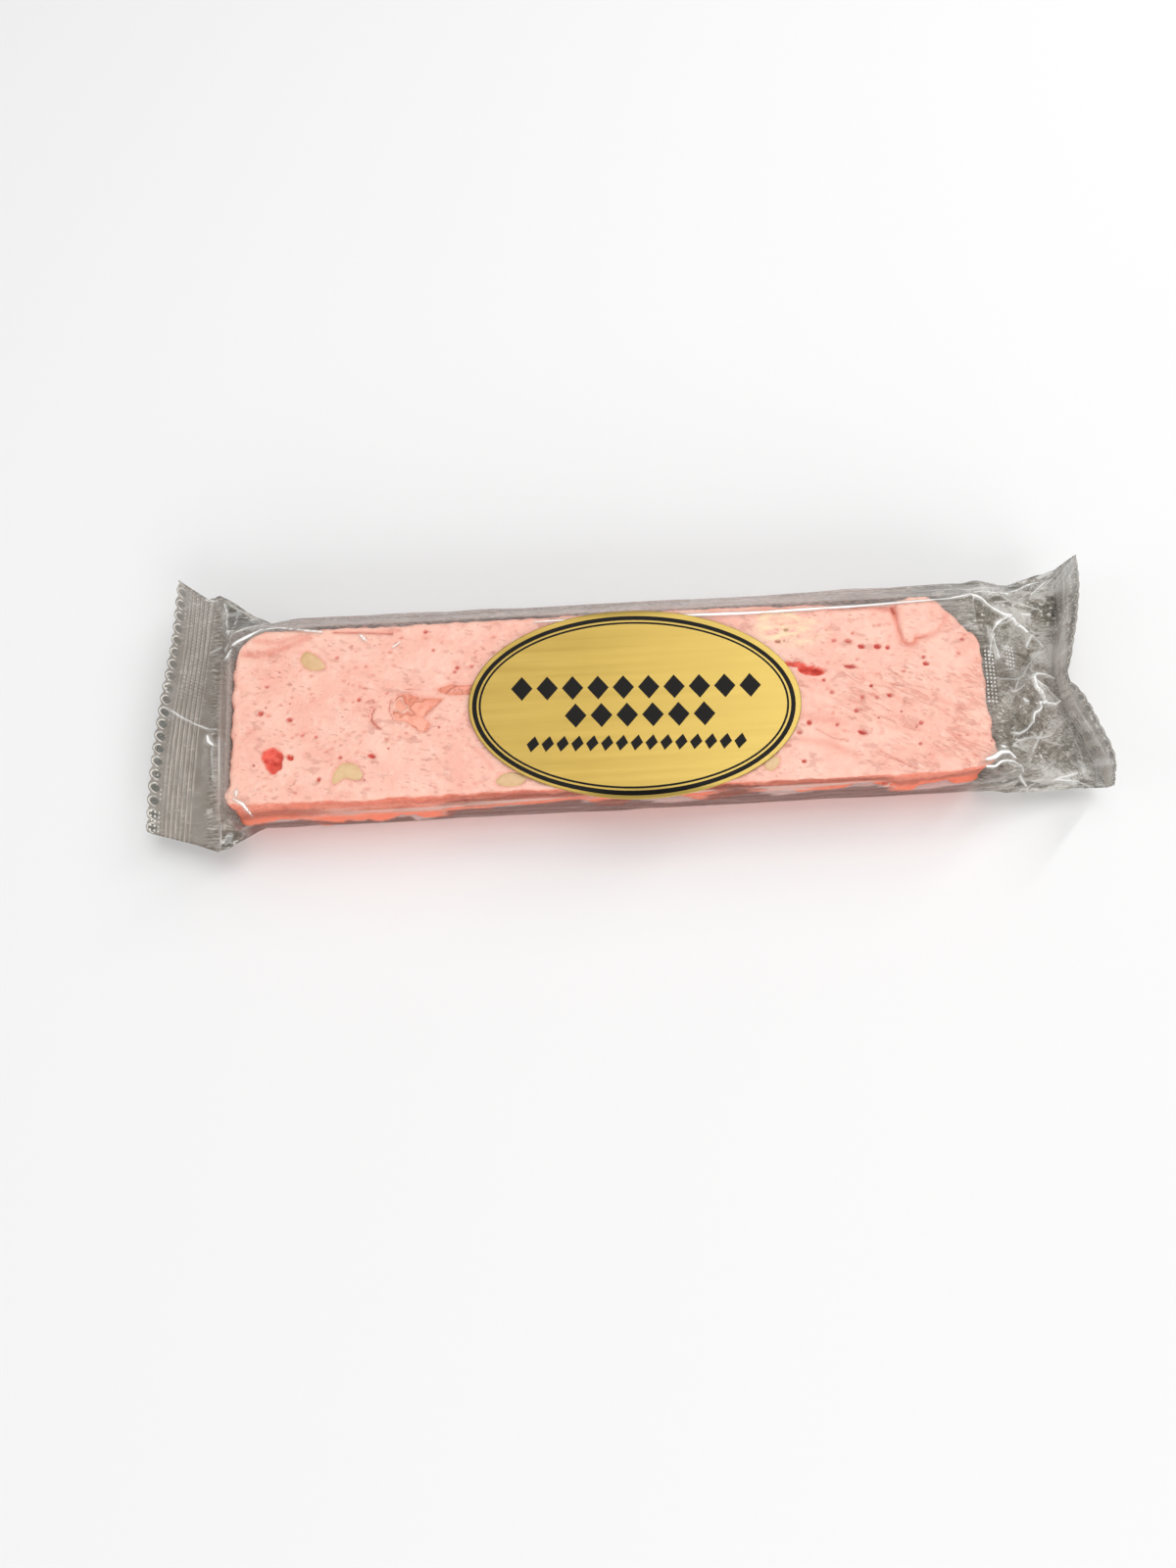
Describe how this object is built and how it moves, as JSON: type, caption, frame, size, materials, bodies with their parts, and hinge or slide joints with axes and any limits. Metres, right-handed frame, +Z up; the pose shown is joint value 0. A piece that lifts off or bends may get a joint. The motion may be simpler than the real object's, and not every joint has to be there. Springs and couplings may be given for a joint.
{
  "type": "wrapped nougat bar",
  "caption": "Flat bar of pink nougat sealed in clear flow-wrap film with crimped end seals, carrying an oval gold foil label.",
  "frame": {"origin": "on the flat underside that the pack rests on, under the middle of the nougat bar", "axes": "+X along the bar towards the end seal that stands up, +Y towards the pack's slack back edge, +Z up through the label"},
  "size_m": [0.1878, 0.0578, 0.0161],
  "materials": {
    "wrapped_nougat": "pink nougat seen through glossy clear film",
    "gold_foil": "satin gold foil on paper, printed in black",
    "clear_film": "clear polypropylene film, glossy, creased and crimped at its ends",
    "nougat": "soft pink nougat with small open pores",
    "peanut": "pale roasted peanut pieces set in the nougat",
    "jelly": "salmon fruit jelly swirled into the nougat"
  },
  "bodies": {
    "root": {"film_pack": "wrapped_nougat", "label": "gold_foil"}
  },
  "joints": []
}
